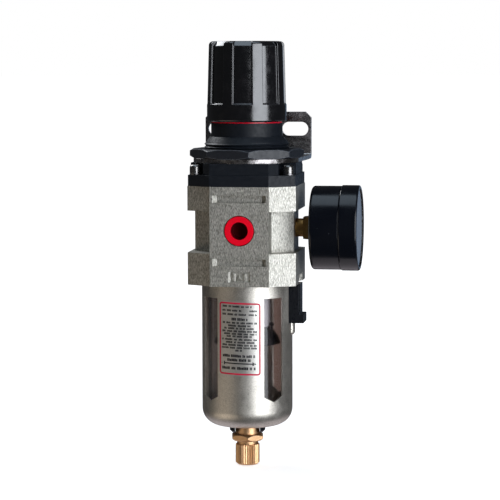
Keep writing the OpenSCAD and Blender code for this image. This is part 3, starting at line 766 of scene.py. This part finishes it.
def draw_words(bm):
    """Rows of marks in place of printed text, as (height, left end, right end), and an arrow."""
    rng = random.Random(7)
    rows = [(-37.1, -8.6, 6.1), (-39.1, -8.8, 1.3), (-39.1, 5, 9.3), (-41, -8.8, 3.5), (-41, 4.6, 8.7)]
    rows += [(-43.3, -3.9, 4.1)]
    rows += [(-45.1, -8.6, 8.8), (-46.5, -5.7, 5.5), (-47.8, -7.7, 7.7), (-49.2, -8.8, 8.8)]
    rows += [(-50.5, -7.9, 8.6), (-51.7, -6.5, 6.2), (-53.2, -9, 8.7), (-54.6, -6.9, 7.4)]
    rows += [(-56, -8.8, 8.5), (-57.3, -9.2, 8.8)]
    rows += [(-58.6, -2, 1.3), (-61.3, -8.6, 7.7), (-63.3, -6.2, 5.5), (-67.3, -9, 8)]
    bold_rows = (-43.3, -61.3, -63.3, -67.3)
    for z, left, right in rows:
        draw_row(bm, rng, z, left, right, z in bold_rows)
    draw_arrow(bm)


film = printed("label_film", FILM, draw_film)
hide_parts("bowl_label")
printed("label_border", CRIMSON, draw_border)
printed("label_words", BLACK_INK, draw_words)

# ---------------------------------------------------------------- gauge dial

# The dial's first mark and the sweep to its last, in degrees clockwise from the top
DIAL_START = -135
DIAL_SWEEP = 270
# The dial's highest number, the step between its numbers, and the number of steps between its marks
DIAL_TOP = 10
NUMBER_STEP = 2
MARKS = 50


def dial_point(r, degrees, x):
    """A point on the dial, degrees clockwise from the top as seen from the front of the gauge."""
    a = math.radians(degrees)
    return at(x, r * math.sin(a), r * math.cos(a))


def dial_mark(bm, i, face):
    """One mark: the long ones stand at the numbers, and every fifth is longer than the rest."""
    middle = DIAL_START + DIAL_SWEEP * i / MARKS
    at_number, fifth = i % 10 == 0, i % 5 == 0
    inner = 14.2 if at_number else 15 if fifth else 15.8
    outer = 17
    half = 0.9 if at_number else 0.5
    corners = ((inner, -half), (outer, -half), (outer, half), (inner, half))
    levels = (face - 0.02, face + 0.04)
    block(bm, [[bm.verts.new(dial_point(r, middle + d, x)) for r, d in corners] for x in levels])


def dial_number(value, face):
    """A number printed on the dial, turned to face along +x."""
    text = bpy.data.curves.new("number", "FONT")
    text.body = str(value)
    text.size = 4.2 * MM
    text.extrude = 0.03 * MM
    text.align_x = "CENTER"
    text.align_y = "CENTER"
    source = bpy.data.objects.new("number", text)
    bpy.context.scene.collection.objects.link(source)
    spot = dial_point(11.4, DIAL_START + DIAL_SWEEP * value / DIAL_TOP, face + 0.02)
    turn = Matrix(((0, 0, 1), (1, 0, 0), (0, 1, 0))).to_4x4()
    source.matrix_world = Matrix.Translation(spot) @ turn
    bpy.context.view_layer.update()
    depsgraph = bpy.context.evaluated_depsgraph_get()
    mesh = bpy.data.meshes.new_from_object(source.evaluated_get(depsgraph))
    mesh.transform(source.matrix_world)
    bpy.data.objects.remove(source)
    finish_piece(add_object(f"dial_number_{value}", mesh), BLACK_INK, "gauge_dial", replaces=False)


def make_dial():
    """A flat white dial with fifty steps over three quarters of a turn, and numbers from 0 to 10."""
    skin("gauge_dial", DIAL, 0.1)
    face = span("gauge_dial")[1].x
    bm = bmesh.new()
    for i in range(MARKS + 1):
        dial_mark(bm, i, face)
    bmesh.ops.recalc_face_normals(bm, faces=bm.faces)
    finish_piece(from_bmesh("dial_marks", bm), BLACK_INK, "gauge_dial", replaces=False)
    for value in range(0, DIAL_TOP + 1, NUMBER_STEP):
        dial_number(value, face)


make_dial()

# ---------------------------------------------------------------- floor, light and camera

def outwards(azimuth, elevation):
    """A direction in degrees. Azimuth 0 is in front, towards -y, and 90 on the gauge's side."""
    a, e = math.radians(azimuth), math.radians(elevation)
    return Vector((math.sin(a) * math.cos(e), -math.cos(a) * math.cos(e), math.sin(e)))


def area_light(name, azimuth, elevation, distance, size, power, color):
    """A soft box that faces the object. Distance and size in metres, power in watts."""
    back = outwards(azimuth, elevation)
    data = bpy.data.lights.new(name, "AREA")
    data.shape = "RECTANGLE"
    data.size, data.size_y = size
    data.energy = power
    data.color = color
    light = bpy.data.objects.new(name, data)
    light.visible_camera = False
    light.visible_transmission = False
    light.location = AXIS + back * distance
    light.rotation_mode = "QUATERNION"
    light.rotation_quaternion = (-back).to_track_quat("-Z", "Y")
    bpy.context.scene.collection.objects.link(light)


def make_floor():
    """A pale sheet under the object that brightens outwards, so it meets the background without a line."""
    sheet_r, gap = 40, 0.0005
    glow_start, glow_end = 0.1, 1.0
    bm = bmesh.new()
    bmesh.ops.create_circle(bm, cap_ends=True, segments=96, radius=sheet_r)
    floor = from_bmesh("floor", bm)
    floor.location = (AXIS.x, AXIS.y, cad_box[0].z - gap)
    s = Surface("floor_paper", (0.8, 0.8, 0.8), 0.7)
    s.gloss(s.noise(3, 2), 0.65, 0.8)
    distance = s.nodes.new("ShaderNodeVectorMath")
    distance.operation = "LENGTH"
    s.links.new(s.coords, distance.inputs[0])
    glow = s.spread(distance.outputs["Value"], 0.72, 1.0, glow_start, glow_end)
    s.shader.inputs["Emission Color"].default_value = (1, 1, 1, 1)
    s.links.new(glow, s.shader.inputs["Emission Strength"])
    floor.data.materials.append(s.material)
    # It is seen, and doesn't light, reflect in or shade the object
    floor.visible_diffuse = False
    floor.visible_glossy = False
    floor.visible_shadow = False
    floor.visible_transmission = False


def make_world():
    """White to the eye, brown-grey through clear parts, and dim as a light, like a room with dark walls."""
    world = bpy.data.worlds.new("studio")
    bpy.context.scene.world = world
    world.use_nodes = True
    nodes, links = world.node_tree.nodes, world.node_tree.links
    room = nodes["Background"]
    room.inputs["Color"].default_value = (0.9, 0.94, 1, 1)
    room.inputs["Strength"].default_value = 0.04
    path = nodes.new("ShaderNodeLightPath")
    behind = room.outputs["Background"]
    for ray, color in (("Is Transmission Ray", (0.2, 0.14, 0.12, 1)), ("Is Camera Ray", (1, 1, 1, 1))):
        paper = nodes.new("ShaderNodeBackground")
        paper.inputs["Color"].default_value = color
        mix = nodes.new("ShaderNodeMixShader")
        links.new(path.outputs[ray], mix.inputs[0])
        links.new(behind, mix.inputs[1])
        links.new(paper.outputs["Background"], mix.inputs[2])
        behind = mix.outputs["Shader"]
    links.new(behind, nodes["World Output"].inputs["Surface"])


def make_camera():
    """A long lens a metre off, 8.5 degrees round towards the gauge, a little above and hardly rolled."""
    distance, aim_right, aim_down = 1.0, 1.4335, 11.4187
    yaw, pitch, roll = 8.46, 5.19, math.radians(-0.13)
    out = outwards(yaw, pitch)
    right = Vector((math.cos(math.radians(yaw)), math.sin(math.radians(yaw)), 0))
    up = out.cross(right)
    right, up = right * math.cos(roll) + up * math.sin(roll), up * math.cos(roll) - right * math.sin(roll)
    data = bpy.data.cameras.new("camera")
    data.sensor_width = 36
    # The view is 247 mm across at the object
    data.lens = 145.656
    camera = bpy.data.objects.new("camera", data)
    turn = Matrix((right, up, out)).transposed()
    place = AXIS + out * distance + (right * aim_right - up * aim_down) * MM
    camera.matrix_world = Matrix.Translation(place) @ turn.to_4x4()
    bpy.context.scene.collection.objects.link(camera)
    bpy.context.scene.camera = camera


area_light("key", 48, 6, 1.1, (0.9, 1.3), 15, (0.9, 0.94, 1))
area_light("back_left", -130, 42, 1.1, (0.6, 0.5), 6, (0.93, 0.96, 1))
area_light("front_left", -56, -30, 1.5, (1.4, 0.8), 3.2, (1, 0.86, 0.7))
area_light("top", -20, 84, 0.9, (0.8, 0.55), 2.2, (0.7, 0.85, 1))
area_light("bounce", -172, -62, 1.3, (2.2, 1.6), 6, (1, 0.92, 1))
area_light("rim", 171, 2, 1.5, (0.6, 0.5), 0.3, (0.5, 0.7, 1))
bpy.context.scene.view_settings.view_transform = "Standard"
make_floor()
make_world()
make_camera()
